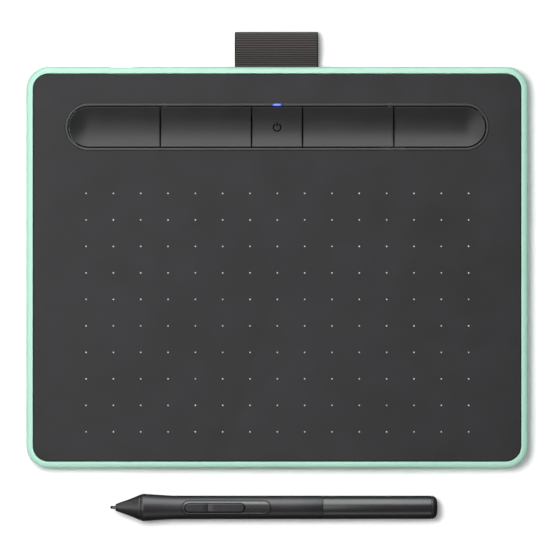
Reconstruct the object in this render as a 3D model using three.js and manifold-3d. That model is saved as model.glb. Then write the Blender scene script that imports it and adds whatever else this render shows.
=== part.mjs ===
// A small pen drawing tablet and its cordless pen, in millimetres. +Z is up, +Y points to the tablet's
// rear edge and +X to its right. The origin is on the desk, under the middle of the whole set: the
// tablet with its textile loop behind it, and the pen lying in front.
import * as THREE from "three";
import { mergeVertices } from "three/addons/utils/BufferGeometryUtils.js";
import Module from "manifold-3d";

const wasm = await Module();
wasm.setup();

// ---------------------------------------------------------------- Driving dimensions: the tablet
const seatGap = 0.3; // between separate pieces that locate each other
const fineGap = 0.15; // between small pieces that are pressed or soldered together
const cutPast = 1; // how far a cutting solid runs past the face that it opens

const caseWidth = 200;
const caseDepth = 160;
const thickness = 8.8; // desk to the highest point
const caseCorner = 9;
const rimWidth = 2.65; // mint rim seen round the black cover
const footProud = 0.7;
const floorThickness = 1.4;
const lowerRoundIn = 3.4; // the case's underside curls in this far
const lowerRoundUp = 3.7;
const upperRoundIn = 2.35;
const upperRoundDown = 2.3;
const rimChamfer = 0.2;
const rimDrop = 0.2; // rim below the cover's face
const beadProud = 0.1; // bead round the keys, above the cover's face

const coverThickness = 1.5;
const coverChamfer = 0.25;
const skirtWidth = 1.2;
const skirtDepth = 1;

const bankY = 56; // centre line of the key bank, from the case's centre
const bankReach = 83.05; // from the middle to the round ends of the outer keys
const keyRadius = 8; // half the depth of the key bank
const keySlit = 0.4; // dark line between two keys
const powerKeyPitch = 20.3; // between the slits on each side of the power key
const expressKeyPitch = 36.4;
const keyDrop = 0.25; // a key's outer edge, below the bead
const troughSlope = 0.5;
const troughBlend = 6; // radius-like size of the trough's rounded bottom
const keySkin = 1;
const keySkirt = 1.1;
const keySkirtDepth = 3.35;
const keyTravel = 0.3;
const tabWidth = 4;
const tabThickness = 0.65;
const plungerRadius = 1.2;
const bezelGap = 0.38;
const beadWidth = 1;
const bezelDepth = 2.6;
const flangeWidth = 1.6;
const flangeThickness = 0.7;

const lightWidth = 4;
const lightDepth = 0.9;

const boardThickness = 0.8;
const boardHalfWidth = 80;
const boardFront = 42;
const boardRear = 67.5;
const boardStandoff = 0.6;
const pinRadius = 0.7;
const tactSize = 3.5;
const tactBody = 0.7;
const tactButton = 0.3;

const activeWidth = 152;
const activeDepth = 95;
const activeY = -17.95;
const sensorMarginX = 4.5;
const sensorMarginY = 7;
const shieldThickness = 0.3;
const shieldGap = 0.1;
const shieldInset = 2;
const ribWidth = 0.8;
const ribPlaces = [-70, -34, 2, 74];

const usbX = -62;
const usbWidth = 7.6;
const usbHeight = 2.6;
const usbDepth = 5.2;
const usbWall = 0.25;
const portWidth = 12; // hole in the rear wall, for a plug's moulding
const portHeight = 5.2;

const loopWidth = 33.3;
const loopReach = 14.1; // behind the rear wall
const loopThickness = 0.9;
const loopBulge = 3.1; // half the open loop's height, to the ribbon's middle
const loopTailGap = 0.25;
const loopTail = 8.5; // length held inside the wall
const loopZ = 4;

const screwX = 86;
const screwY = 67;
const screwShank = 0.95;
const screwHead = 1.9;
const screwHeadHeight = 1.2;
const bossRadius = 3.6;
const upperBossRadius = 2.6;
const footLength = 18;
const footWidth = 8;
const footRecess = 0.7;

const batteryLength = 62;
const batteryDepth = 48;
const batteryThickness = 2.9;
const batteryX = 38;
const batteryY = -18;
const padThickness = 0.5;

// ---------------------------------------------------------------- Driving dimensions: the pen
const penGap = 10.2; // from the tablet's front edge to the pen's flare
const penX = -66.6; // the nib's tip
const penLength = 130.5;
const nibRadius = 0.8;
const nibTipRadius = 0.66; // the part that shows in front of the cone
const nibLength = 26;
const nibTravel = 0.3;
const coneStart = 2.14;
const coneEnd = 12;
const coneFrontRadius = 1.45;
const coneRearRadius = 5.05;
const flareAt = 13.4;
const flareRadius = 5.47;
const neckEnd = 25.5;
const gripRadius = 4.67;
const gripRearRadius = 4.64;
const splitAt = 84.9; // where the rear barrel pulls off
const tailRadius = 4.59;
const capLength = 2.2;
const capRound = 2.1;
const barrelBore = 3.9;
const penSeam = 0.15;
const bezelStart = 28.7;
const bezelLength = 35.3;
const bezelWidth = 5.3;
const bezelProud = 0.25;
const rockerStart = 29.95;
const rockerLength = 23.7;
const rockerWidth = 3.5;
const rockerPivotAt = 39.1;
const rockerPivotZ = 3.4;
const rockerProud = 0.3; // flat top, above the barrel
const rockerPin = 0.45;
const chassisRadius = 3.55;
const spigotRadius = 3.65;
const spigotLength = 14;
const holderLength = 10;
const spareNibLength = 25;
const spareNibRing = 1.9;

// ---------------------------------------------------------------- Heights that follow from them
const coverTop = thickness - beadProud;
const coverBottom = coverTop - coverThickness;
const rimTop = coverTop - rimDrop;
const floorTop = footProud + floorThickness;
const recessTop = footProud + footRecess;
const boardBottom = floorTop + boardStandoff;
const boardTop = boardBottom + boardThickness;
const keyEdgeTop = thickness - keyDrop;
const keyBottom = keyEdgeTop - keySkirtDepth;
const bezelBottom = thickness - bezelDepth;
const sensorBottom = coverBottom - boardThickness;
const shieldBottom = sensorBottom - shieldGap - shieldThickness;
const ribTop = shieldBottom - seatGap;
const usbZ = boardTop + usbHeight / 2;
const wallInside = caseDepth / 2 - rimWidth;
const usbFace = wallInside - 1.6;
const coverHalfWidth = caseWidth / 2 - rimWidth - seatGap;
const coverHalfDepth = caseDepth / 2 - rimWidth - seatGap;
const coverCorner = caseCorner - rimWidth - seatGap;
const spineReach = bankReach - keyRadius; // the key bank's centre line ends here
const loopRear = caseDepth / 2 + loopReach;
const penY = -caseDepth / 2 - penGap - flareRadius;
// The set's middle lies half way between the back of the loop and the front of the pen's flare.
const setMiddleY = (loopRear + penY - flareRadius) / 2;

// ---------------------------------------------------------------- Shapes
// A closed BufferGeometry as a manifold-3d solid, turned right side out if its faces point inwards.
function solidOf(geometry) {
  const bare = new THREE.BufferGeometry().setAttribute("position", geometry.getAttribute("position"));
  if (geometry.index) bare.setIndex(geometry.index);
  const merged = mergeVertices(bare, 1e-5);
  const build = (triVerts) =>
    new wasm.Manifold(
      new wasm.Mesh({ numProp: 3, vertProperties: merged.attributes.position.array, triVerts }),
    );
  const triVerts = new Uint32Array(merged.index.array);
  const solid = build(triVerts);
  return solid.volume() > 0 ? solid : build(triVerts.reverse());
}

function geometryOf(solid) {
  const mesh = solid.getMesh();
  const geometry = new THREE.BufferGeometry()
    .setAttribute("position", new THREE.BufferAttribute(mesh.vertProperties, 3))
    .setIndex(new THREE.BufferAttribute(mesh.triVerts, 1));
  geometry.computeVertexNormals();
  return geometry;
}

const union = (solids) => solids.reduce((all, next) => all.add(next));
const cut = (solid, tools) => tools.reduce((left, tool) => left.subtract(tool), solid);

function box(x0, x1, y0, y1, z0, z1) {
  const geometry = new THREE.BoxGeometry(x1 - x0, y1 - y0, z1 - z0);
  return solidOf(geometry.translate((x0 + x1) / 2, (y0 + y1) / 2, (z0 + z1) / 2));
}

// A block by its middle in plan, its size in plan and its two heights.
const block = (x, y, width, depth, z0, z1) =>
  box(x - width / 2, x + width / 2, y - depth / 2, y + depth / 2, z0, z1);

function post(radius, x, y, z0, z1, segments = 16) {
  const geometry = new THREE.CylinderGeometry(radius, radius, z1 - z0, segments).rotateX(Math.PI / 2);
  return solidOf(geometry.translate(x, y, (z0 + z1) / 2));
}

function extrude(shape, depth, curveSegments) {
  return new THREE.ExtrudeGeometry(shape, { depth, bevelEnabled: false, curveSegments });
}

// A plan outline pulled up from z0 to z1.
const prism = (shape, z0, z1, curveSegments = 8) =>
  solidOf(extrude(shape, z1 - z0, curveSegments).translate(0, 0, z0));

// An outline in (y, z), pulled along X from x0 to x1.
function prismX(shape, x0, x1, curveSegments = 8) {
  const turn = new THREE.Matrix4().makeBasis(
    new THREE.Vector3(0, 1, 0),
    new THREE.Vector3(0, 0, 1),
    new THREE.Vector3(1, 0, 0),
  );
  return solidOf(extrude(shape, x1 - x0, curveSegments).applyMatrix4(turn).translate(x0, 0, 0));
}

// An outline in (x, z), pulled along Y from y0 to y1.
const prismY = (shape, y0, y1, curveSegments = 8) =>
  solidOf(extrude(shape, y1 - y0, curveSegments).rotateX(Math.PI / 2).translate(0, y1, 0));

// A closed profile of [place along the axis, radius] turned round Z or X.
const asProfile = (points) => points.map(([along, radius]) => new THREE.Vector2(radius, along));
const turnZ = (points, segments = 24) =>
  solidOf(new THREE.LatheGeometry(asProfile(points), segments).rotateX(Math.PI / 2));
const turnX = (points, segments = 24) =>
  solidOf(new THREE.LatheGeometry(asProfile(points), segments).rotateZ(-Math.PI / 2));

function polygon(points) {
  return new THREE.Shape(points.map(([x, y]) => new THREE.Vector2(x, y)));
}

// A slot with round ends, its long side along X.
function stadium(x, y, length, width) {
  const radius = width / 2;
  const reach = length / 2 - radius;
  const shape = new THREE.Shape();
  shape.absarc(x + reach, y, radius, -Math.PI / 2, Math.PI / 2);
  shape.absarc(x - reach, y, radius, Math.PI / 2, (3 * Math.PI) / 2);
  return shape;
}

// One ring of a rounded rectangle at a height.
function ring(halfWidth, halfDepth, radius, z, steps = 5) {
  const points = [];
  for (let corner = 0; corner < 4; corner++) {
    const x = (corner === 0 || corner === 3 ? 1 : -1) * (halfWidth - radius);
    const y = (corner < 2 ? 1 : -1) * (halfDepth - radius);
    for (let i = 0; i <= steps; i++) {
      const angle = ((corner + i / steps) * Math.PI) / 2;
      points.push([x + radius * Math.cos(angle), y + radius * Math.sin(angle), z]);
    }
  }
  return points;
}

// A solid skinned over rings of equally many points, with the first and last ring closed flat.
function loft(rings) {
  const count = rings[0].length;
  const index = [];
  for (let level = 0; level < rings.length - 1; level++)
    for (let i = 0; i < count; i++) {
      const a = level * count + i;
      const b = level * count + ((i + 1) % count);
      index.push(a, b, b + count, a, b + count, a + count);
    }
  const last = (rings.length - 1) * count;
  for (let i = 1; i < count - 1; i++) index.push(0, i + 1, i, last, last + i, last + i + 1);
  const geometry = new THREE.BufferGeometry();
  geometry.setAttribute("position", new THREE.Float32BufferAttribute(rings.flat(2), 3));
  geometry.setIndex(index);
  return solidOf(geometry);
}

// A rounded rectangle skinned through steps of [inset, height].
const loftInsets = (halfWidth, halfDepth, radius, steps) =>
  loft(steps.map(([inset, z]) => ring(halfWidth - inset, halfDepth - inset, radius - inset, z)));

// ---------------------------------------------------------------- Materials
const plastic = (color, roughness) => new THREE.MeshStandardMaterial({ color, roughness, metalness: 0 });
const metal = (color, roughness) => new THREE.MeshStandardMaterial({ color, roughness, metalness: 1 });
const mint = plastic("#b2e2d0", 0.5);
const coverBlack = plastic("#404143", 0.75);
const keyBlack = plastic("#464646", 0.6);
const bezelBlack = plastic("#4c4c4d", 0.35);
const innerBlack = plastic("#26282a", 0.6);
const ribbonBlack = plastic("#403d3c", 0.95);
const rubber = plastic("#3b3d3e", 0.9);
const boardGreen = plastic("#1f5a3c", 0.5);
const chipBlack = plastic("#1b1b1d", 0.4);
const flexAmber = plastic("#b9752c", 0.4);
const foilSilver = metal("#b8bcc0", 0.45);
const steel = metal("#a9adb2", 0.35);
const copper = metal("#b5683a", 0.4);
const ferriteGrey = plastic("#3a3a3e", 0.7);
const ledBlue = new THREE.MeshStandardMaterial({ color: "#6f8dff", emissive: "#4a66ff", roughness: 0.3 });
const nibGrey = plastic("#5a5c5f", 0.5);
const penBlack = plastic("#37383a", 0.7);
const penGloss = plastic("#3c3d40", 0.3);
const wireRed = plastic("#a52a24", 0.5);

const tablet = new THREE.Group();
const pen = new THREE.Group();

function add(group, name, solid, material) {
  const mesh = new THREE.Mesh(geometryOf(solid), material);
  mesh.name = name;
  group.add(mesh);
}

// ---------------------------------------------------------------- Case, cover, feet and screws
const screwPlaces = [
  [-screwX, -screwY],
  [screwX, -screwY],
  [screwX, screwY],
  [-screwX, screwY],
];
const screwShoulder = recessTop + screwHeadHeight;
const lowerBossTop = screwShoulder + 1.7;
const upperBossBottom = lowerBossTop + seatGap;

// Quarter of an ellipse from (inset, z) steps: the underside's curl, then the rim's roundover.
function caseProfile() {
  const steps = [];
  for (let i = 0; i <= 4; i++) {
    const angle = ((i / 4) * Math.PI) / 2;
    steps.push([
      lowerRoundIn * (1 - Math.sin(angle)),
      footProud + lowerRoundUp * (1 - Math.cos(angle)),
    ]);
  }
  for (let i = 0; i <= 3; i++) {
    const angle = ((i / 3) * Math.PI) / 2;
    steps.push([
      upperRoundIn * (1 - Math.cos(angle)),
      rimTop - upperRoundDown * (1 - Math.sin(angle)),
    ]);
  }
  steps.push([rimWidth - rimChamfer, rimTop], [rimWidth, rimTop - rimChamfer], [rimWidth, floorTop]);
  return steps;
}

const boardPins = [
  [-76, boardFront + 3],
  [76, boardFront + 3],
  [-45, boardRear - 2.5],
  [45, boardRear - 2.5],
];

const portZ = usbZ;
const loopSlotHeight = 2 * loopThickness + loopTailGap + 2 * fineGap;

function bottomCase() {
  const shell = loftInsets(caseWidth / 2, caseDepth / 2, caseCorner, caseProfile());
  const sensorFront = activeY - activeDepth / 2 - sensorMarginY + shieldInset;
  const sensorRear = activeY + activeDepth / 2 + sensorMarginY - shieldInset;
  const ribs = ribPlaces.map((x) =>
    box(x - ribWidth / 2, x + ribWidth / 2, sensorFront, sensorRear, floorTop - cutPast, ribTop),
  );
  const bosses = screwPlaces.map(([x, y]) => post(bossRadius, x, y, floorTop - cutPast, lowerBossTop));
  const posts = boardPins.map(([x, y]) => post(1.8, x, y, floorTop - cutPast, boardBottom, 12));
  const pins = boardPins.map(([x, y]) => post(pinRadius, x, y, boardBottom - cutPast, boardTop + 0.5, 10));
  const recesses = screwPlaces.flatMap(([x, y]) => [
    prism(stadium(x, y, footLength + 2 * fineGap, footWidth + 2 * fineGap), -cutPast, recessTop, 4),
    post(screwHead + 0.25, x, y, recessTop - cutPast, screwShoulder),
    post(screwShank + 0.2, x, y, screwShoulder - cutPast, lowerBossTop + cutPast, 12),
  ]);
  const port = prismY(stadium(usbX, portZ, portWidth, portHeight), wallInside - cutPast, caseDepth, 6);
  const slot = box(
    -loopWidth / 2 - seatGap, loopWidth / 2 + seatGap,
    wallInside - cutPast, caseDepth,
    loopZ - loopSlotHeight / 2, loopZ + loopSlotHeight / 2,
  );
  return cut(union([shell, ...ribs, ...bosses, ...posts, ...pins]), [...recesses, port, slot]);
}

const bezelInner = keyRadius + bezelGap;
const bezelOuter = bezelInner + beadWidth;
// An outline that runs round the whole key bank at a distance from its centre line.
const bankOutline = (radius) => stadium(0, bankY, 2 * (spineReach + radius), 2 * radius);

function topCover() {
  const plate = loftInsets(coverHalfWidth, coverHalfDepth, coverCorner, [
    [0, coverBottom],
    [0, coverTop - coverChamfer],
    [coverChamfer, coverTop],
  ]);
  const skirtTop = coverBottom + 0.2;
  const skirtBottom = coverBottom - skirtDepth;
  const skirt = loftInsets(coverHalfWidth, coverHalfDepth, coverCorner, [
    [fineGap, skirtBottom],
    [fineGap, skirtTop],
  ]).subtract(
    loftInsets(coverHalfWidth, coverHalfDepth, coverCorner, [
      [fineGap + skirtWidth, skirtBottom - cutPast],
      [fineGap + skirtWidth, skirtTop + cutPast],
    ]),
  );
  const notch = block(usbX, coverHalfDepth, portWidth + 2, 6, skirtBottom - cutPast, coverBottom);
  const bosses = screwPlaces.map(([x, y]) =>
    post(upperBossRadius, x, y, upperBossBottom, coverBottom + 0.2),
  );
  const pilots = screwPlaces.map(([x, y]) =>
    post(screwShank + fineGap, x, y, upperBossBottom - cutPast, coverBottom - 0.2, 12),
  );
  const opening = prism(bankOutline(bezelOuter + 0.1), coverBottom - cutPast, thickness + cutPast, 10);
  return cut(union([plate, skirt.subtract(notch), ...bosses]), [...pilots, opening]);
}

function caseScrew([x, y]) {
  const tip = coverBottom - 0.6;
  return turnZ([
    [screwShoulder - screwHeadHeight + fineGap, 0],
    [screwShoulder - screwHeadHeight + fineGap, screwHead * 0.75],
    [screwShoulder - screwHeadHeight / 2, screwHead],
    [screwShoulder, screwHead],
    [screwShoulder, screwShank],
    [tip - 0.5, screwShank],
    [tip, screwShank * 0.5],
    [tip, 0],
  ], 12).translate([x, y, 0]);
}

const rubberFoot = ([x, y]) =>
  union([
    prism(stadium(x, y, footLength, footWidth), 0.25, recessTop, 4),
    prism(stadium(x, y, footLength - 0.6, footWidth - 0.6), 0, 0.3, 4),
  ]);

// ---------------------------------------------------------------- Keys and their frame
// The trough's height at a distance from the key bank's centre line.
const rise = (radius) => Math.hypot(radius, troughBlend);
const troughZ = (radius) => keyEdgeTop - troughSlope * (rise(keyRadius) - rise(radius));

// Everything above the trough's surface, lowered by an offset.
function aboveTrough(lower, steps = 6) {
  const past = keyRadius + cutPast;
  const top = thickness + 2 * cutPast;
  const radii = Array.from({ length: steps + 1 }, (_, i) => past * (i / steps) ** 1.3);
  const surface = radii.map((r) => [r, troughZ(r) - lower]);
  const half = surface.map(([r, z]) => [bankY + r, z]);
  const otherHalf = surface.slice(1).reverse().map(([r, z]) => [bankY - r, z]);
  const outline = polygon([...otherHalf, ...half, [bankY + past, top], [bankY - past, top]]);
  const end = turnZ([...surface.map(([r, z]) => [z, r]), [top, past], [top, 0]], 24);
  return union([
    prismX(outline, -spineReach, spineReach),
    end.translate([-spineReach, bankY, 0]),
    end.translate([spineReach, bankY, 0]),
  ]);
}

// A key's plan outline between two places along the bank; an outer key has a round end.
function keyOutline(x0, x1, inset) {
  const radius = keyRadius - inset;
  const shape = new THREE.Shape();
  const roundLeft = x0 < -spineReach;
  const roundRight = x1 > spineReach;
  if (roundRight) shape.absarc(spineReach, bankY, radius, -Math.PI / 2, Math.PI / 2);
  else shape.moveTo(x1 - inset, bankY - radius).lineTo(x1 - inset, bankY + radius);
  if (roundLeft) shape.absarc(-spineReach, bankY, radius, Math.PI / 2, (3 * Math.PI) / 2);
  else shape.lineTo(x0 + inset, bankY + radius).lineTo(x0 + inset, bankY - radius);
  return shape;
}

const aboveKeys = aboveTrough(0);
const aboveKeyHollow = aboveTrough(keySkin);

function key([x0, x1]) {
  const middle = (x0 + x1) / 2;
  const body = prism(keyOutline(x0, x1, 0), keyBottom, thickness + cutPast, 10).subtract(aboveKeys);
  const hollow = prism(keyOutline(x0, x1, keySkirt), keyBottom - cutPast, thickness, 10);
  const plunger = post(
    plungerRadius, middle, bankY,
    boardTop + tactBody + tactButton + keyTravel + 0.05, troughZ(0) - keySkin / 2, 12,
  );
  // Four tabs under the bezel keep the key in: none lies at the middle, where the light pipe passes.
  const tabs = [-1, 1].map((side) => {
    const x = middle + (side * (x1 - x0)) / 4;
    return block(x, bankY, tabWidth, 2 * (keyRadius + 0.8), keyBottom, keyBottom + tabThickness);
  });
  const between = block(middle, bankY, x1 - x0 + 4, 2 * (keyRadius - keySkirt), 0, thickness);
  return union([
    body.subtract(hollow.subtract(aboveKeyHollow)),
    plunger,
    ...tabs.map((tab) => tab.subtract(between)),
  ]);
}

const slits = [
  -powerKeyPitch / 2 - expressKeyPitch, -powerKeyPitch / 2,
  powerKeyPitch / 2, powerKeyPitch / 2 + expressKeyPitch,
];
const keySpans = [
  [-bankReach, slits[0] - keySlit / 2],
  [slits[0] + keySlit / 2, slits[1] - keySlit / 2],
  [slits[1] + keySlit / 2, slits[2] - keySlit / 2],
  [slits[2] + keySlit / 2, slits[3] - keySlit / 2],
  [slits[3] + keySlit / 2, bankReach],
];
const keyNames = ["express_key_1", "express_key_2", "power_key", "express_key_3", "express_key_4"];
const keyMiddles = keySpans.map(([x0, x1]) => (x0 + x1) / 2);

// The ring seen round the keys, with a flange glued under the cover and a notch for the light pipe.
function keyFrame() {
  const beadRound = 0.3;
  const wall = union([
    prism(bankOutline(bezelOuter), bezelBottom, thickness - beadRound, 10),
    prism(bankOutline(bezelOuter - beadRound), thickness - 2 * beadRound, thickness, 10),
  ]);
  const flange = prism(bankOutline(bezelOuter + flangeWidth), bezelBottom, bezelBottom + flangeThickness, 10);
  const inside = prism(bankOutline(bezelInner), bezelBottom - cutPast, thickness + cutPast, 10);
  const lightY = bankY + bezelInner + lightDepth / 2 + 0.05;
  const notch = block(
    0, lightY, lightWidth + 2 * fineGap, lightDepth + 2 * fineGap, bezelBottom - cutPast, thickness + cutPast,
  );
  return cut(union([wall, flange]), [inside, notch]);
}

const lightY = bankY + bezelInner + lightDepth / 2 + 0.05;

// ---------------------------------------------------------------- Boards and what they carry
function mainBoard() {
  const body = box(-boardHalfWidth, boardHalfWidth, boardFront, boardRear, boardBottom, boardTop);
  const arm = box(usbX - 7, usbX + 7, boardRear - cutPast, usbFace, boardBottom, boardTop);
  const holes = boardPins.map(([x, y]) =>
    post(pinRadius + seatGap, x, y, boardBottom - cutPast, boardTop + cutPast, 12),
  );
  return cut(union([body, arm]), holes);
}

function keySwitch(x) {
  return union([
    block(x, bankY, tactSize, tactSize, boardTop, boardTop + tactBody),
    post(0.9, x, bankY, boardTop, boardTop + tactBody + tactButton, 10),
  ]);
}

// A receptacle's outline: full width at the top, cut back at the lower corners.
function usbOutline(shrink) {
  const half = usbWidth / 2 - shrink;
  const low = usbZ - usbHeight / 2 + shrink;
  const high = usbZ + usbHeight / 2 - shrink;
  const cutBack = usbHeight * 0.4;
  return polygon([
    [usbX - half + cutBack, low], [usbX + half - cutBack, low], [usbX + half, low + cutBack],
    [usbX + half, high], [usbX - half, high], [usbX - half, low + cutBack],
  ]);
}
const usbSocket = () =>
  prismY(usbOutline(0), usbFace - usbDepth, usbFace).subtract(
    prismY(usbOutline(usbWall), usbFace - usbDepth + 2 * usbWall, usbFace + cutPast),
  );
const usbTongue = () =>
  box(usbX - 1.8, usbX + 1.8, usbFace - usbDepth + 3 * usbWall, usbFace - 0.8, usbZ + 0.1, usbZ + 0.65);

const sensorHalfWidth = activeWidth / 2 + sensorMarginX;
const sensorHalfDepth = activeDepth / 2 + sensorMarginY;
const sensorBoard = () =>
  block(0, activeY, 2 * sensorHalfWidth, 2 * sensorHalfDepth, sensorBottom, coverBottom);
const shieldPlate = () =>
  block(
    0, activeY, 2 * (sensorHalfWidth - shieldInset), 2 * (sensorHalfDepth - shieldInset),
    shieldBottom, shieldBottom + shieldThickness,
  );

const connectorX = -46;
const connectorHeight = 1.2;
const connectorDepth = 4;
// A flat strip that drops from the sensor board's rear margin to the connector's mouth.
function sensorFlex() {
  const from = [activeY + sensorHalfDepth - 0.2, sensorBottom - fineGap];
  const to = [boardFront - fineGap, boardTop + connectorHeight / 2];
  const middle = (from[0] + to[0]) / 2;
  const strip = 0.2;
  const shape = new THREE.Shape();
  shape.moveTo(from[0] - 1.6, from[1]).lineTo(from[0], from[1]);
  shape.bezierCurveTo(middle, from[1], middle, to[1], to[0], to[1]);
  shape.lineTo(to[0], to[1] - strip);
  shape.bezierCurveTo(middle - strip, to[1] - strip, middle - strip, from[1] - strip, from[0], from[1] - strip);
  shape.lineTo(from[0] - 1.6, from[1] - strip);
  return prismX(shape, connectorX - 10, connectorX + 10, 8);
}

const batteryBottom = floorTop + padThickness;
const leadX = batteryX - 14;
const plugDepth = 4;
// Two insulated wires moulded side by side, drawn as one oval lead.
function batteryLead() {
  const start = batteryY + batteryDepth / 2 + fineGap;
  const z = batteryBottom + batteryThickness / 2;
  const end = boardFront - fineGap;
  const path = new THREE.CatmullRomCurve3([
    new THREE.Vector3(leadX, start, z),
    new THREE.Vector3(leadX, start + 3, z),
    new THREE.Vector3(leadX - 2, start + 12, floorTop + 0.9),
    new THREE.Vector3(leadX + 2, end - 10, floorTop + 0.9),
    new THREE.Vector3(leadX, end - 3, boardTop + 0.8),
    new THREE.Vector3(leadX, end, boardTop + 0.8),
  ]);
  const section = new THREE.Shape().absellipse(0, 0, 0.6, 1.1, 0, 2 * Math.PI);
  const tube = new THREE.ExtrudeGeometry(section, {
    steps: 16, extrudePath: path, curveSegments: 4, bevelEnabled: false,
  });
  return solidOf(tube);
}

// ---------------------------------------------------------------- Textile loop
// The ribbon's middle line in (y, z): two tails pinched in the wall, opening into a soft teardrop.
function loopOutline() {
  const wall = caseDepth / 2 + 0.3;
  const tip = loopRear - loopThickness / 2;
  const bulgeAt = tip - 4.2;
  const tail = loopThickness / 2 + loopTailGap / 2;
  const upper = new THREE.Path();
  upper.moveTo(wall - loopTail, tail).lineTo(wall, tail);
  upper.bezierCurveTo(wall + 3.4, tail, wall + 3, loopBulge, bulgeAt, loopBulge);
  upper.absellipse(bulgeAt, 0, tip - bulgeAt, loopBulge, Math.PI / 2, 0, true);
  const half = upper.getPoints(10).filter((p, i, all) => !i || p.distanceTo(all[i - 1]) > 1e-3);
  const line = [...half, ...half.slice(0, -1).reverse().map((p) => new THREE.Vector2(p.x, -p.y))];
  const sides = line.map((p, i) => {
    const along = line[Math.min(i + 1, line.length - 1)].clone().sub(line[Math.max(i - 1, 0)]).normalize();
    return new THREE.Vector2(-along.y, along.x).multiplyScalar(loopThickness / 2);
  });
  const outer = line.map((p, i) => p.clone().add(sides[i]));
  const inner = line.map((p, i) => p.clone().sub(sides[i])).reverse();
  return new THREE.Shape([...outer, ...inner].map((p) => new THREE.Vector2(p.x, p.y + loopZ)));
}
const penLoop = () => prismX(loopOutline(), -loopWidth / 2, loopWidth / 2);

// The bar that traps the ribbon's tails, just inside the rear wall.
function loopAnchor() {
  const back = wallInside - seatGap;
  const bar = block(0, back - 3.2, loopWidth + 6, 6.4, floorTop, coverBottom - skirtDepth - seatGap);
  const slotHeight = 2 * loopThickness + loopTailGap + 2 * fineGap;
  const slot = block(0, back - 2.6, loopWidth + 2 * seatGap, 8, loopZ - slotHeight / 2, loopZ + slotHeight / 2);
  return bar.subtract(slot);
}

// ---------------------------------------------------------------- Building the tablet
add(tablet, "bottom_case", bottomCase(), mint);
add(tablet, "top_cover", topCover(), coverBlack);
add(tablet, "key_frame", keyFrame(), bezelBlack);
keySpans.forEach((span, i) => add(tablet, keyNames[i], key(span), keyBlack));
keyMiddles.forEach((x, i) => add(tablet, `key_switch_${i + 1}`, keySwitch(x), chipBlack));
add(tablet, "status_light_pipe", block(0, lightY, lightWidth, lightDepth, boardTop + 1, thickness), ledBlue);
add(tablet, "status_led", block(0, lightY, 1.6, 0.8, boardTop, boardTop + 0.6), ledBlue);
add(tablet, "main_board", mainBoard(), boardGreen);
add(tablet, "controller_chip", block(-14.5, boardFront + 5.5, 7, 7, boardTop, boardTop + 0.9), chipBlack);
add(tablet, "radio_module", block(46, boardFront + 7, 10, 12, boardTop, boardTop + 1.2), foilSilver);
add(tablet, "usb_socket", usbSocket(), steel);
add(tablet, "usb_tongue", usbTongue(), chipBlack);
add(
  tablet, "sensor_connector",
  block(connectorX, boardFront + connectorDepth / 2, 22, connectorDepth, boardTop, boardTop + connectorHeight),
  nibGrey,
);
add(tablet, "sensor_flex", sensorFlex(), flexAmber);
add(tablet, "sensor_board", sensorBoard(), boardGreen);
add(tablet, "shield_plate", shieldPlate(), steel);
add(
  tablet, "battery_pad",
  block(batteryX, batteryY, batteryLength - 12, batteryDepth - 12, floorTop, batteryBottom), rubber,
);
add(
  tablet, "battery",
  block(batteryX, batteryY, batteryLength, batteryDepth, batteryBottom, batteryBottom + batteryThickness),
  foilSilver,
);
add(tablet, "battery_lead", batteryLead(), wireRed);
add(
  tablet, "battery_plug",
  block(leadX, boardFront + plugDepth / 2, 5, plugDepth, boardTop, boardTop + 1.6), nibGrey,
);
add(tablet, "pen_loop", penLoop(), ribbonBlack);
add(tablet, "loop_anchor", loopAnchor(), innerBlack);
screwPlaces.forEach((place, i) => {
  add(tablet, `rubber_foot_${i + 1}`, rubberFoot(place), rubber);
  add(tablet, `case_screw_${i + 1}`, caseScrew(place), steel);
});

// ---------------------------------------------------------------- The pen, from its tip along +X
const capAt = penLength - capLength;

// The grip swells to its flare: a concave neck from the flare back to the plain barrel.
function gripProfile() {
  const points = [
    [coneEnd + penSeam, coneRearRadius + 0.05],
    [flareAt - 0.5, flareRadius - 0.07],
    [flareAt, flareRadius],
  ];
  for (let i = 1; i <= 6; i++) {
    const share = i / 6;
    points.push([
      flareAt + (neckEnd - flareAt) * share,
      gripRadius + (flareRadius - gripRadius) * (1 - share) ** 1.3,
    ]);
  }
  points.push([splitAt - penSeam / 2, gripRearRadius]);
  return points;
}

function closedTube(outer, bore) {
  return [...outer, [outer.at(-1)[0], bore], [outer[0][0], bore], outer[0]];
}

const bezelMiddle = bezelStart + bezelLength / 2;
const rockerMiddle = rockerStart + rockerLength / 2;

function gripBarrel() {
  const tube = turnX(closedTube(gripProfile(), barrelBore), 32);
  const pocket = prism(
    stadium(bezelMiddle, 0, bezelLength + 2 * penSeam, bezelWidth + 2 * penSeam), 0, 2 * flareRadius, 6,
  );
  return tube.subtract(pocket);
}

// A stadium block whose top follows a cylinder about the pen's axis.
function crowned(x, length, width, z0, radius) {
  const blockSolid = prism(stadium(x, 0, length, width), z0, radius + cutPast, 6);
  const round = turnX([[0, 0], [0, radius], [penLength, radius], [penLength, 0]], 64);
  return blockSolid.intersect(round);
}

const bezelTop = gripRadius + bezelProud;
const bezelLow = 2.85;

function switchBezel() {
  const body = crowned(bezelMiddle, bezelLength, bezelWidth, bezelLow, bezelTop);
  const opening = prism(
    stadium(rockerMiddle, 0, rockerLength + 2 * seatGap, rockerWidth + 2 * 0.22), 0, 2 * flareRadius, 6,
  );
  const pinSlots = box(
    rockerPivotAt - rockerPin - 0.2, rockerPivotAt + rockerPin + 0.2,
    -rockerWidth / 2 - 0.75, rockerWidth / 2 + 0.75,
    bezelLow - cutPast, rockerPivotZ + rockerPin + 0.15,
  );
  return cut(body, [opening, pinSlots]);
}

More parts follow.
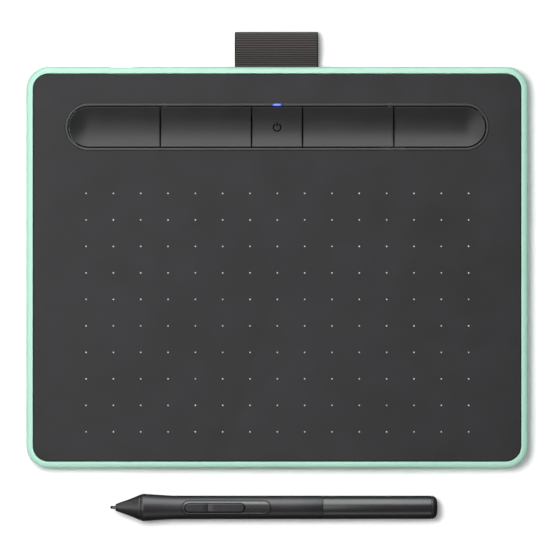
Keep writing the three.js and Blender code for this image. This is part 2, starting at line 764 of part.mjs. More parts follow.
const boardZ = -0.4; // middle height of the pen's board
const tactZ = boardZ + boardThickness / 2 + 0.1;
const pressPlaces = [rockerStart + 3.5, rockerStart + rockerLength - 5];

function sideSwitch() {
  const top = gripRadius + rockerProud;
  const body = crowned(rockerMiddle, rockerLength, rockerWidth, rockerPivotZ - 0.8, gripRadius + 0.5).subtract(
    box(0, penLength, -flareRadius, flareRadius, top, top + 2 * cutPast),
  );
  const groove = block(rockerPivotAt, 0, 0.6, rockerWidth + 1, top - 0.2, top + cutPast);
  const pin = new THREE.CylinderGeometry(rockerPin, rockerPin, rockerWidth + 1, 12);
  pin.rotateY(Math.PI / 12).translate(rockerPivotAt, 0, rockerPivotZ);
  const feet = pressPlaces.map((x) => post(0.7, x, 0, tactZ + 1.1 + 0.45, rockerPivotZ, 10));
  return union([body.subtract(groove), solidOf(pin), ...feet]);
}

function noseCone() {
  const wall = 1;
  const slope = (coneRearRadius - coneFrontRadius) / (coneEnd - coneStart);
  const spigotEnd = coneEnd + 4;
  const bore = nibRadius + 0.15;
  return turnX([
    [coneStart, bore],
    [coneStart, coneFrontRadius - 0.2],
    [coneStart + 0.2, coneFrontRadius + 0.2 * slope],
    [coneEnd, coneRearRadius],
    [coneEnd, barrelBore - penSeam],
    [spigotEnd, barrelBore - penSeam],
    [spigotEnd, barrelBore - penSeam - 0.8],
    [coneEnd - 1.5, barrelBore - penSeam - 0.8],
    [coneStart + 3, bore + 0.1],
    [coneStart, bore],
  ], 24);
}

const nibSolid = (from, length) =>
  turnX([
    [from, 0],
    [from + 0.15, nibTipRadius * 0.7],
    [from + 0.5, nibTipRadius],
    [from + coneStart + 0.4, nibTipRadius],
    [from + coneStart + 1, nibRadius],
    [from + length, nibRadius],
    [from + length, 0],
  ], 10);

const nibEnd = nibLength + nibTravel + 0.1;
const sensorLength = 4.6;
const ferriteEnd = 23;
const trayStart = nibEnd - penSeam;
const penBoardStart = nibEnd + sensorLength + 0.6;
const chassisStart = 20.9;
const spigotEnd = splitAt + spigotLength;

function penChassis() {
  const body = turnX([
    [chassisStart, 0],
    [chassisStart, chassisRadius],
    [splitAt - 0.4, chassisRadius],
    [splitAt - 0.4, spigotRadius],
    [spigotEnd, spigotRadius],
    [spigotEnd, 0],
  ]);
  const nibBore = turnX([[0, 0], [0, nibRadius + 0.25], [nibEnd + 0.5, nibRadius + 0.25], [nibEnd + 0.5, 0]], 12);
  const ferriteSeat = turnX([[0, 0], [0, 2.2], [ferriteEnd + penSeam, 2.2], [ferriteEnd + penSeam, 0]]);
  const tray = box(trayStart, splitAt - 1.5, -2.45, 2.45, -2.45, flareRadius);
  const ledge = box(penBoardStart - 0.3, splitAt - 1.5, -5, 5, boardZ - boardThickness / 2 - 0.1, flareRadius);
  const bezelRoom = box(
    bezelStart - seatGap, bezelStart + bezelLength + seatGap,
    -bezelWidth / 2 - seatGap, bezelWidth / 2 + seatGap,
    bezelLow - 0.1, flareRadius,
  );
  return cut(body, [nibBore, ferriteSeat, tray, ledge, bezelRoom]);
}

const tubeX = (x0, x1, bore, radius, segments) =>
  turnX(closedTube([[x0, radius], [x1, radius]], bore), segments);
const rodX = (x0, x1, radius, segments) => turnX([[x0, 0], [x0, radius], [x1, radius], [x1, 0]], segments);

const nibAngles = [Math.PI / 2, (7 * Math.PI) / 6, (11 * Math.PI) / 6];
const holderStart = spigotEnd + seatGap;
function nibHolder() {
  const body = rodX(holderStart, holderStart + holderLength, chassisRadius, 18);
  const hole = rodX(holderStart + 1, holderStart + holderLength + cutPast, nibRadius + fineGap, 10);
  return cut(
    body,
    nibAngles.map((a) => hole.translate([0, spareNibRing * Math.cos(a), spareNibRing * Math.sin(a)])),
  );
}
const spareNib = (angle) =>
  nibSolid(holderStart + 1 + fineGap, spareNibLength).translate([
    0, spareNibRing * Math.cos(angle), spareNibRing * Math.sin(angle),
  ]);

const rearBarrel = () =>
  turnX(closedTube([[splitAt + penSeam / 2, gripRearRadius - 0.01], [capAt - penSeam, tailRadius]], barrelBore), 32);

// The tail's rounded cap, pressed in, with the small hole that grips a worn nib.
function endCap() {
  const hole = nibTipRadius + 0.09;
  const points = [[capAt - 2, hole], [capAt - 2, barrelBore - 0.1], [capAt, barrelBore - 0.1], [capAt, tailRadius]];
  for (let i = 0; i <= 5; i++) {
    const angle = ((i / 5) * Math.PI) / 2;
    points.push([
      penLength - capRound * (1 - Math.sin(angle)),
      tailRadius - capRound * (1 - Math.cos(angle)),
    ]);
  }
  return turnX([...points, [penLength, hole], [capAt - 2, hole]], 28);
}

const tactOnPen = (x) =>
  union([block(x, 0, 3, 2.6, tactZ, tactZ + 0.7), post(0.7, x, 0, tactZ, tactZ + 1.1, 8)]);

add(pen, "pen_nib", nibSolid(0, nibLength), nibGrey);
add(pen, "pen_nose_cone", noseCone(), penBlack);
add(pen, "pen_grip_barrel", gripBarrel(), penBlack);
add(pen, "pen_switch_bezel", switchBezel(), penGloss);
add(pen, "pen_side_switch", sideSwitch(), penBlack);
add(pen, "pen_ferrite_core", tubeX(9, ferriteEnd, nibRadius + 0.25, 2, 14), ferriteGrey);
add(pen, "pen_coil", tubeX(11, 20.5, 2.12, 2.7, 16), copper);
add(pen, "pen_chassis", penChassis(), innerBlack);
add(pen, "pen_pressure_sensor", rodX(nibEnd, nibEnd + sensorLength, 2.4, 14), chipBlack);
add(
  pen, "pen_circuit_board",
  box(penBoardStart, splitAt - 2, -2.9, 2.9, boardZ - boardThickness / 2, boardZ + boardThickness / 2),
  boardGreen,
);
add(pen, "pen_front_tact_switch", tactOnPen(pressPlaces[0]), chipBlack);
add(pen, "pen_rear_tact_switch", tactOnPen(pressPlaces[1]), chipBlack);
add(pen, "nib_holder", nibHolder(), innerBlack);
nibAngles.forEach((angle, i) => add(pen, `spare_nib_${i + 1}`, spareNib(angle), nibGrey));
add(pen, "pen_rear_barrel", rearBarrel(), penGloss);
add(pen, "pen_end_cap", endCap(), penBlack);

// The pen lies on its flare and on the edge of its tail, so its axis dips a little towards the tail.
const dip = Math.atan((flareRadius - tailRadius) / (capAt - flareAt));
pen.rotation.y = dip;
pen.position.set(penX, penY - setMiddleY, flareAt * Math.sin(dip) + flareRadius * Math.cos(dip));
tablet.position.y = -setMiddleY;

const drawingTablet = new THREE.Group();
drawingTablet.add(tablet, pen);

export default drawingTablet;
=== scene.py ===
"""A small pen drawing tablet with its cordless pen, seen from straight above on a pale floor.

Lengths are in millimetres, turned into metres where Blender takes them. Only the lamps' places and the
floor's reach are given in metres. x runs to the tablet's right, y to its rear edge and z up. Pieces of
the pen are made in the pen's own frame, tip at 0 and along +x.
"""
import math

import bmesh
import bpy
from mathutils import Matrix, Vector


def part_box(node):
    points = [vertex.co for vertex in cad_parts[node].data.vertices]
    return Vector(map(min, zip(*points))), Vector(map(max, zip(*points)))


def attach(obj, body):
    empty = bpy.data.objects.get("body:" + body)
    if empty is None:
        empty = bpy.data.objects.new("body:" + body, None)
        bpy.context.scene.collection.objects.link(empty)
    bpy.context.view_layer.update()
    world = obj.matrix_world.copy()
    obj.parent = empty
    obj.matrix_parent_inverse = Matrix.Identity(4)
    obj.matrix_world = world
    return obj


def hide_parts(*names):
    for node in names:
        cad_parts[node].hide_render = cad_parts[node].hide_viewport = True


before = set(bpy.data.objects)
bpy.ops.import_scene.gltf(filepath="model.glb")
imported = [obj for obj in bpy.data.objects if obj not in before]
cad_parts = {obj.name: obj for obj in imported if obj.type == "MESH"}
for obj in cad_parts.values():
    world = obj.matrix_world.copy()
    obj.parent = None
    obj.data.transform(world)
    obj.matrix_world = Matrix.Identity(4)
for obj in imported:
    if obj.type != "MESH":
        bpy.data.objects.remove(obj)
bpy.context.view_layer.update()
MM = 0.001
WELD = 1e-7  # vertices nearer than this, in metres, are one

# ------------------------------------------------------------------ Sizes shared with the solids
CASE = dict(half_x=100.0, half_y=80.0, corner=9.0)
FOOT_PROUD = 0.7
RIM_TOP = 8.5
RIM_WIDTH = 2.65
RIM_ROUND = (2.35, 2.3)  # inwards, downwards
UNDER_ROUND = (3.4, 3.7)  # inwards, upwards
WALL_CUT = (76, 81)  # y range of a cut through the rear wall
FLOOR_TOP = 2.1
COVER_TOP = 8.7
COVER_BOTTOM = 7.2
COVER = dict(half_x=97.05, half_y=77.05, corner=6.05)
TOP = 8.8
BANK_Y = 56.0
SPINE_REACH = 75.05  # the round ends of the key bank are centred here
KEY_RADIUS = 8.0
KEY_EDGE_TOP = 8.55
KEY_BOTTOM = 5.2
TROUGH_SLOPE = 0.5
TROUGH_BLEND = 6.0
SLIT = 0.4
KEY_ROUND = 0.32  # fillet along a key's rim
SLIT_ROUND = 0.16  # fillet where two keys meet
POWER_PITCH = 20.3
EXPRESS_PITCH = 36.4
RING_INNER = 8.38
RING_OUTER = 9.38
RING_BOTTOM = 6.2
LIGHT_HALF = 2.0
LIGHT_Y = BANK_Y + (RING_INNER + RING_OUTER) / 2
LIGHT_GLOW = (2.15, 0.54)  # half size of the window's glow
DOTS = dict(columns=15, rows=10, width=152.4, depth=95.0, x=0.1, y=-17.95, radius=0.275, proud=0.012)
LOOP_WIDTH = 33.3
LOOP_X = -0.25
LOOP_Z = 4.0
LOOP_THICK = 0.9
LOOP_BULGE = 3.1
LOOP_TAIL = 8.5
LOOP_REACH = 14.1
LOOP_TAIL_Z = 0.575
USB_X = -62.0
USB_Z = 4.8
PORT = (12.0, 5.2)
FOOT = (18.0, 8.0)
FOOT_AT = (86.0, 67.0)
FOOT_ROOM = 0.3
FOOT_RECESS_TOP = 1.35
FOOT_EDGE = ((0, 1.38), (0, 0.35), (0.05, 0.2), (0.14, 0.09), (0.3, 0.02), (0.45, 0.0))  # (inset, height)

TIP_X = -66.6
FLARE_AT = 13.4
FLARE_R = 5.47
TAIL_R = 4.59
PEN_LENGTH = 130.5
CAP_AT = 128.3
CONE_START = 2.14
CONE_END = 12.0
SPLIT_AT = 84.9
SPLIT_HALF = 0.04  # half the seam where the rear barrel pulls off
HOLLOW = 12.1  # length of the grip's hollow curve, and where the grip starts
NIB_TIP_R = 0.66
NIB_R = 0.8
NIB_LENGTH = 26.0
NIB_DARK_TIP = 0.9  # length of the dark tip
GRIP_R = 4.67
BEZEL = dict(start=28.7, length=35.3, width=5.3, proud=0.25, low=2.85)
ROCKER = dict(start=29.95, length=23.7, width=3.5, pivot=39.1, proud=0.3, low=3.05)
BEZEL_ROOM = 0.44
ROCKER_ROOM = 0.5
GROOVE_HALF = 0.3
GROOVE_DEPTH = 0.08
BORE = 3.9
CAP_ROUND = (2.1, 2.8)  # along the pen, across it
CAP_BORE = 0.65

case_low, case_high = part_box("bottom_case")
TABLET_Y = (case_low.y + case_high.y) / 2 / MM
barrel_low, barrel_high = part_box("pen_grip_barrel")
PEN_Y = (barrel_low.y + barrel_high.y) / 2 / MM
DIP = math.atan((FLARE_R - TAIL_R) / (CAP_AT - FLARE_AT))
PEN_Z = FLARE_AT * math.sin(DIP) + FLARE_R * math.cos(DIP)
PEN = Matrix.Translation(Vector((TIP_X, PEN_Y, PEN_Z)) * MM) @ Matrix.Rotation(DIP, 4, "Y")
TABLET = Matrix.Translation((0, TABLET_Y * MM, 0))


# ------------------------------------------------------------------ Mesh tools
def solid(name, verts, faces):
    """A bare object from a mesh in millimetres, still to be cut or dressed."""
    data = bpy.data.meshes.new(name)
    data.from_pydata([Vector(v) * MM for v in verts], [], faces)
    bm = bmesh.new()
    bm.from_mesh(data)
    bmesh.ops.remove_doubles(bm, verts=bm.verts, dist=WELD)
    bmesh.ops.recalc_face_normals(bm, faces=bm.faces)
    bm.to_mesh(data)
    bm.free()
    obj = bpy.data.objects.new(name, data)
    bpy.context.scene.collection.objects.link(obj)
    return obj


def piece(name, verts, faces, material, body, at=TABLET, stands_for=(), sharp=30):
    """A dressed solid, in the tablet's or the pen's frame, that rides on a body."""
    return dress(solid(name, verts, faces), material, body, at, stands_for, sharp)


def dress(obj, material, body, at=TABLET, stands_for=(), sharp=30):
    """Gives an object its material, its place, its body and the solids it is seen instead of."""
    obj.data.materials.clear()
    obj.data.materials.append(material)
    obj.data.shade_smooth()
    obj.data.set_sharp_from_angle(angle=math.radians(sharp))
    obj.matrix_world = at
    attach(obj, body)
    if stands_for:
        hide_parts(*stands_for)
    return obj


def ring(half_x, half_y, radius, z, steps=16):
    """A rounded rectangle's outline at one height."""
    points = []
    for corner in range(4):
        x = (half_x - radius) * (1 if corner in (0, 3) else -1)
        y = (half_y - radius) * (1 if corner < 2 else -1)
        for i in range(steps + 1):
            a = (corner + i / steps) * math.pi / 2
            points.append((x + radius * math.cos(a), y + radius * math.sin(a), z))
    return points


def stadium(x, y, length, width, steps=24):
    """A slot with round ends, its long side along x, as a plan outline."""
    r = width / 2
    reach = length / 2 - r
    points = []
    for side in (1, -1):
        for i in range(steps + 1):
            a = (i / steps - 0.5) * math.pi + (0 if side == 1 else math.pi)
            points.append((x + side * reach + r * math.cos(a), y + r * math.sin(a)))
    return points


def skin(rings, first=True, last=True):
    """Quads between rings of equally many points, with the ends closed if asked."""
    n = len(rings[0])
    verts = [p for r in rings for p in r]
    faces = []
    for k in range(len(rings) - 1):
        for i in range(n):
            j = (i + 1) % n
            faces.append((k * n + i, k * n + j, (k + 1) * n + j, (k + 1) * n + i))
    if first:
        faces.append(tuple(reversed(range(n))))
    if last:
        faces.append(tuple(range((len(rings) - 1) * n, len(rings) * n)))
    return verts, faces


def skin_loop(rings):
    """Quads between rings, with the last ring joined back to the first."""
    verts, faces = skin(rings, False, False)
    n, k = len(rings[0]), len(rings) - 1
    for i in range(n):
        j = (i + 1) % n
        faces.append((k * n + i, k * n + j, j, i))
    return verts, faces


def lathe(profile, segments=96):
    """A closed profile of (x, radius) turned round the pen's axis."""
    rings = []
    for i in range(segments):
        a = 2 * math.pi * i / segments
        rings.append([(x, r * math.cos(a), r * math.sin(a)) for x, r in profile])
    return skin_loop(rings)


def arc(cx, cy, radius, start, end, steps=6):
    """Points on an arc between two angles in degrees."""
    out = []
    for i in range(steps + 1):
        a = math.radians(start + (end - start) * i / steps)
        out.append((cx + radius * math.cos(a), cy + radius * math.sin(a)))
    return out


def prism(outline, z0, z1):
    """A plan outline pulled up from one height to another."""
    return skin([[(x, y, z0) for x, y in outline], [(x, y, z1) for x, y in outline]])


def carve(obj, tools):
    """Cuts each (verts, faces) solid out of obj, in obj's own frame, and keeps the result as plain mesh."""
    for verts, faces in tools:
        tool = solid("tool", verts, faces)
        tool.matrix_world = obj.matrix_world
        mod = obj.modifiers.new("cut", "BOOLEAN")
        mod.operation, mod.solver, mod.object = "DIFFERENCE", "EXACT", tool
        bpy.context.view_layer.update()
        graph = bpy.context.evaluated_depsgraph_get()
        cut = bpy.data.meshes.new_from_object(obj.evaluated_get(graph))
        obj.modifiers.clear()
        obj.data = cut
        bpy.data.objects.remove(tool)
    return obj


# ------------------------------------------------------------------ Materials
def linear(rgb):
    return tuple((c / 255 / 12.92) if c <= 10 else ((c / 255 + 0.055) / 1.055) ** 2.4 for c in rgb) + (1,)


BLOTCH = 14  # size of the broad, faint marks in every finish
BANDS = 3.183  # bands in a metre of a wave texture of scale 1


def finish(name, light, dark, rough, grain=0.12, bump=0.02, speckle=0.5, **sockets):
    """A moulded or worked surface: two close tints mixed by fine grain, which also roughens and raises it.

    light and dark are sRGB, rough is (low, high), grain is the size of the finest mark in millimetres.
    """
    mat = bpy.data.materials.new(name)
    mat.use_nodes = True
    nodes, links = mat.node_tree.nodes, mat.node_tree.links
    shader = nodes["Principled BSDF"]
    for key, value in sockets.items():
        shader.inputs[key.replace("_", " ")].default_value = value
    place = nodes.new("ShaderNodeTexCoord")
    fine = nodes.new("ShaderNodeTexNoise")
    fine.inputs["Scale"].default_value = 1 / (grain * MM)
    fine.inputs["Detail"].default_value = 3
    broad = nodes.new("ShaderNodeTexNoise")
    broad.inputs["Scale"].default_value = 1 / (BLOTCH * MM)
    broad.inputs["Detail"].default_value = 4
    for noise in (fine, broad):
        links.new(place.outputs["Object"], noise.inputs["Vector"])
    both = nodes.new("ShaderNodeMix")
    both.inputs["Factor"].default_value = speckle
    links.new(broad.outputs["Fac"], both.inputs["A"])
    links.new(fine.outputs["Fac"], both.inputs["B"])
    ramp = nodes.new("ShaderNodeValToRGB")
    ramp.color_ramp.elements[0].position, ramp.color_ramp.elements[1].position = 0.36, 0.64
    ramp.color_ramp.elements[0].color = linear(dark)
    ramp.color_ramp.elements[1].color = linear(light)
    links.new(both.outputs["Result"], ramp.inputs["Fac"])
    links.new(ramp.outputs["Color"], shader.inputs["Base Color"])
    spread = nodes.new("ShaderNodeMapRange")
    spread.inputs["From Min"].default_value, spread.inputs["From Max"].default_value = 0.3, 0.7
    spread.inputs["To Min"].default_value, spread.inputs["To Max"].default_value = rough
    links.new(both.outputs["Result"], spread.inputs["Value"])
    links.new(spread.outputs["Result"], shader.inputs["Roughness"])
    relief = nodes.new("ShaderNodeBump")
    relief.inputs["Strength"].default_value = 0.5
    relief.inputs["Distance"].default_value = bump * MM
    links.new(fine.outputs["Fac"], relief.inputs["Height"])
    links.new(relief.outputs["Normal"], shader.inputs["Normal"])
    return mat


mint = finish(
    "mint_plastic", (167, 210, 192), (163, 206, 188), (0.36, 0.46),
    grain=0.2, bump=0.008, Specular_IOR_Level=0.3,
)
black = finish(
    "cover_texture", (48, 48, 50), (42, 42, 43), (0.46, 0.58),
    grain=0.16, bump=0.025, Specular_IOR_Level=0.15,
)
keytop = finish(
    "key_plastic", (35, 34, 34), (30, 29, 29), (0.38, 0.5),
    grain=0.18, bump=0.012, Specular_IOR_Level=0.47,
)
bead = finish(
    "bezel_plastic", (56, 56, 57), (50, 50, 51), (0.28, 0.36),
    grain=0.2, bump=0.005, Specular_IOR_Level=0.47,
)
dots = finish("printed_dots", (205, 206, 206), (190, 191, 191), (0.5, 0.6), grain=0.2, bump=0.004)
print_black = finish(
    "sign_print", (14, 14, 14), (9, 9, 9), (0.8, 0.9),
    grain=0.2, bump=0.004, Specular_IOR_Level=0.0,
)
rubber = finish("foot_rubber", (58, 59, 60), (48, 49, 50), (0.75, 0.9), grain=0.25, bump=0.05)
matte = finish(
    "pen_matte", (32, 31, 35), (27, 27, 30), (0.36, 0.45),
    grain=0.14, bump=0.015, Specular_IOR_Level=0.8,
)
gloss = finish(
    "pen_satin", (38, 37, 40), (33, 33, 35), (0.27, 0.33),
    grain=0.2, bump=0.004, Specular_IOR_Level=0.85,
)
bezel_gloss = finish(
    "switch_bezel", (44, 44, 46), (39, 39, 41), (0.24, 0.3),
    grain=0.2, bump=0.0015, Specular_IOR_Level=1.0,
)
# mid grey for the nib's shaft and the spare nibs: partly their own colour and partly a painted highlight on
# the black nib
nibs = finish("nib_acetal", (84, 84, 86), (72, 72, 74), (0.3, 0.42), grain=0.2, bump=0.01)
# the nib's own black, kept on its rounded tip, where the painted highlight on the shaft stops
nib_dark_tip = finish(
    "nib_tip", (16, 16, 17), (11, 11, 12), (0.5, 0.6),
    grain=0.1, bump=0.01, Specular_IOR_Level=0.2,
)
inner = finish("inner_moulding", (42, 44, 46), (35, 36, 38), (0.45, 0.6), grain=0.2, bump=0.02)
steel = finish(
    "plated_steel", (176, 179, 183), (158, 161, 165), (0.22, 0.38),
    grain=0.3, bump=0.01, Metallic=1.0,
)
foil = finish(
    "foil_pouch", (192, 195, 199), (172, 175, 180), (0.3, 0.5),
    grain=1.6, bump=0.12, Metallic=1.0,
)
board = finish("board_lacquer", (17, 19, 18), (12, 14, 13), (0.25, 0.4), grain=0.8, bump=0.02)
chip = finish("chip_epoxy", (34, 34, 37), (26, 26, 29), (0.4, 0.55), grain=0.15, bump=0.02)
amber = finish("flex_film", (196, 128, 52), (168, 102, 34), (0.2, 0.35), grain=1.0, bump=0.02)
ivory = finish(
    "connector_ivory", (214, 208, 192), (198, 190, 172), (0.4, 0.5),
    grain=0.3, bump=0.01,
)
copper = finish(
    "coil_copper", (190, 110, 62), (150, 78, 40), (0.25, 0.4),
    grain=0.2, bump=0.05, Metallic=1.0,
)
ferrite = finish("ferrite", (64, 64, 70), (50, 50, 55), (0.6, 0.8), grain=0.2, bump=0.04)
wire = finish("wire_red", (176, 46, 38), (150, 34, 28), (0.4, 0.5), grain=0.4, bump=0.02)


def light_bar():
    """A lit window: pale blue in its middle, deep blue at its border."""
    mat = bpy.data.materials.new("status_light")
    mat.use_nodes = True
    nodes, links = mat.node_tree.nodes, mat.node_tree.links
    shader = nodes["Principled BSDF"]
    place = nodes.new("ShaderNodeTexCoord")
    shift = nodes.new("ShaderNodeMapping")
    shift.inputs["Location"].default_value = (0, -LIGHT_Y / LIGHT_GLOW[1], 0)
    shift.inputs["Scale"].default_value = (1 / (LIGHT_GLOW[0] * MM), 1 / (LIGHT_GLOW[1] * MM), 0)
    links.new(place.outputs["Object"], shift.inputs["Vector"])
    split = nodes.new("ShaderNodeSeparateXYZ")
    links.new(shift.outputs["Vector"], split.inputs["Vector"])
    powers = []
    for axis in ("X", "Y"):
        power = nodes.new("ShaderNodeMath")
        power.operation = "POWER"
        power.inputs[1].default_value = 4
        size = nodes.new("ShaderNodeMath")
        size.operation = "ABSOLUTE"
        links.new(split.outputs[axis], size.inputs[0])
        links.new(size.outputs["Value"], power.inputs[0])
        powers.append(power)
    total = nodes.new("ShaderNodeMath")
    links.new(powers[0].outputs["Value"], total.inputs[0])
    links.new(powers[1].outputs["Value"], total.inputs[1])
    ramp = nodes.new("ShaderNodeValToRGB")
    ramp.color_ramp.elements[0].position, ramp.color_ramp.elements[1].position = 0.06, 0.42
    ramp.color_ramp.elements[0].color = linear((130, 160, 252))
    ramp.color_ramp.elements[1].color = linear((14, 28, 165))
    links.new(total.outputs["Value"], ramp.inputs["Fac"])
    shader.inputs["Base Color"].default_value = linear((20, 30, 90))
    links.new(ramp.outputs["Color"], shader.inputs["Emission Color"])
    shader.inputs["Emission Strength"].default_value = 1.0
    shader.inputs["Roughness"].default_value = 0.3
    return mat


def weave():
    """Ribbed ribbon: fine yarns across the ribs, a dusty sheen and a little fuzz, with painted shade: the rib
    valleys and the flat borders are coloured dark from the crest attribute.
    """
    mat = bpy.data.materials.new("ribbon_weave")
    mat.use_nodes = True
    nodes, links = mat.node_tree.nodes, mat.node_tree.links
    shader = nodes["Principled BSDF"]
    shader.inputs["Roughness"].default_value = 0.9
    shader.inputs["Sheen Weight"].default_value = 0.1
    shader.inputs["Sheen Roughness"].default_value = 0.5
    place = nodes.new("ShaderNodeTexCoord")
    yarn = nodes.new("ShaderNodeTexWave")
    yarn.wave_type, yarn.bands_direction = "BANDS", "X"
    yarn.inputs["Scale"].default_value = 1 / (0.42 * MM) / BANDS
    yarn.inputs["Distortion"].default_value = 1.2
    yarn.inputs["Detail"].default_value = 2
    fuzz = nodes.new("ShaderNodeTexNoise")
    fuzz.inputs["Scale"].default_value = 1 / (0.25 * MM)
    fuzz.inputs["Detail"].default_value = 4
    for texture in (yarn, fuzz):
        links.new(place.outputs["Object"], texture.inputs["Vector"])
    both = nodes.new("ShaderNodeMix")
    both.inputs["Factor"].default_value = 0.55
    links.new(yarn.outputs["Fac"], both.inputs["A"])
    links.new(fuzz.outputs["Fac"], both.inputs["B"])
    # painted shade: the crest attribute is low in the rib valleys and along the flat borders, and the ramp
    # below turns low values near black
    ribs = nodes.new("ShaderNodeAttribute")
    ribs.attribute_name = "crest"
    mixed = nodes.new("ShaderNodeMix")
    mixed.inputs["Factor"].default_value = 0.8
    links.new(both.outputs["Result"], mixed.inputs["A"])
    links.new(ribs.outputs["Fac"], mixed.inputs["B"])
    ramp = nodes.new("ShaderNodeValToRGB")
    ramp.color_ramp.elements[0].position, ramp.color_ramp.elements[1].position = 0.25, 0.95
    ramp.color_ramp.elements[0].color = linear((2, 2, 2))
    ramp.color_ramp.elements[1].color = linear((78, 71, 71))
    links.new(mixed.outputs["Result"], ramp.inputs["Fac"])
    links.new(ramp.outputs["Color"], shader.inputs["Base Color"])
    relief = nodes.new("ShaderNodeBump")
    relief.inputs["Strength"].default_value = 0.6
    relief.inputs["Distance"].default_value = 0.06 * MM
    links.new(both.outputs["Result"], relief.inputs["Height"])
    links.new(relief.outputs["Normal"], shader.inputs["Normal"])
    return mat


# ------------------------------------------------------------------ Case
def case():
    """The mint tub, with its rim, foot recesses, USB port and the loop's slot."""
    steps = []
    for i in range(13):
        a = i / 12 * math.pi / 2
        steps.append((UNDER_ROUND[0] * (1 - math.sin(a)), FOOT_PROUD + UNDER_ROUND[1] * (1 - math.cos(a))))
    for i in range(11):
        a = i / 10 * math.pi / 2
        steps.append((RIM_ROUND[0] * (1 - math.cos(a)), RIM_TOP - RIM_ROUND[1] * (1 - math.sin(a))))
    steps += [(RIM_WIDTH - 0.22, RIM_TOP), (RIM_WIDTH - 0.12, RIM_TOP - 0.03)]
    steps += [(RIM_WIDTH - 0.03, RIM_TOP - 0.12), (RIM_WIDTH, RIM_TOP - 0.25), (RIM_WIDTH, FLOOR_TOP)]
    rings = [ring(CASE["half_x"] - i, CASE["half_y"] - i, CASE["corner"] - i, z) for i, z in steps]
    obj = solid("case_shell", *skin(rings))
    tools = []
    for x in (-FOOT_AT[0], FOOT_AT[0]):
        for y in (-FOOT_AT[1], FOOT_AT[1]):
            recess = stadium(x, y, FOOT[0] + FOOT_ROOM, FOOT[1] + FOOT_ROOM)
            tools.append(prism(recess, -1, FOOT_RECESS_TOP))
    port = [(x + USB_X, z + USB_Z) for x, z in stadium(0, 0, *PORT)]
    slot = stadium(0, LOOP_Z, LOOP_WIDTH + 0.6, 2 * LOOP_THICK + 0.55, 6)
    for outline in (port, slot):
        tools.append(skin([[(x, y, z) for x, z in outline] for y in WALL_CUT]))
    carve(obj, tools)
    return dress(obj, mint, "tablet", stands_for=("bottom_case",), sharp=28)


case()


# ------------------------------------------------------------------ Cover and its printed dots
def cover():
    """The black plate, with a slot-shaped hole for the key bank."""
    edge = 0.35
    steps = [(0, COVER_BOTTOM), (0, COVER_TOP - edge)]
    steps += [(edge - r, COVER_TOP - edge + z) for r, z in arc(0, 0, edge, 0, 90, 6)[1:]]
    rings = [ring(COVER["half_x"] - i, COVER["half_y"] - i, COVER["corner"] - i, z, 14) for i, z in steps]
    obj = solid("cover_plate", *skin(rings))
    hole = stadium(0, BANK_Y, 2 * (SPINE_REACH + RING_OUTER + 0.1), 2 * (RING_OUTER + 0.1), 40)
    carve(obj, [prism(hole, COVER_BOTTOM - 1, TOP + 1)])
    return dress(obj, black, "tablet", stands_for=("top_cover",), sharp=28)


def printed_dots():
    """The grid of pale dots that marks the drawing area."""
    sides = 12
    verts, faces = [], []
    for i in range(DOTS["columns"]):
        for j in range(DOTS["rows"]):
            x = DOTS["x"] + DOTS["width"] * (i / (DOTS["columns"] - 1) - 0.5)
            y = DOTS["y"] + DOTS["depth"] * (j / (DOTS["rows"] - 1) - 0.5)
            first = len(verts)
            for k in range(sides):
                a = 2 * math.pi * k / sides
                px, py = x + DOTS["radius"] * math.cos(a), y + DOTS["radius"] * math.sin(a)
                verts.append((px, py, COVER_TOP + DOTS["proud"]))
            faces.append(tuple(range(first, first + sides)))
    return piece("surface_dots", verts, faces, dots, "tablet")


cover()
printed_dots()


# ------------------------------------------------------------------ Key bank
def trough(radius):
    """Height of a key's dish at a distance from the bank's middle line."""
    rise = math.hypot(KEY_RADIUS, TROUGH_BLEND) - math.hypot(radius, TROUGH_BLEND)
    return KEY_EDGE_TOP - TROUGH_SLOPE * rise


def rounding(distance, edge=KEY_ROUND):
    """How far an edge of that fillet radius has dropped at a distance from the outline."""
    if distance >= edge:
        return 0.0
    return edge - math.sqrt(max(0.0, edge * edge - (edge - distance) ** 2))


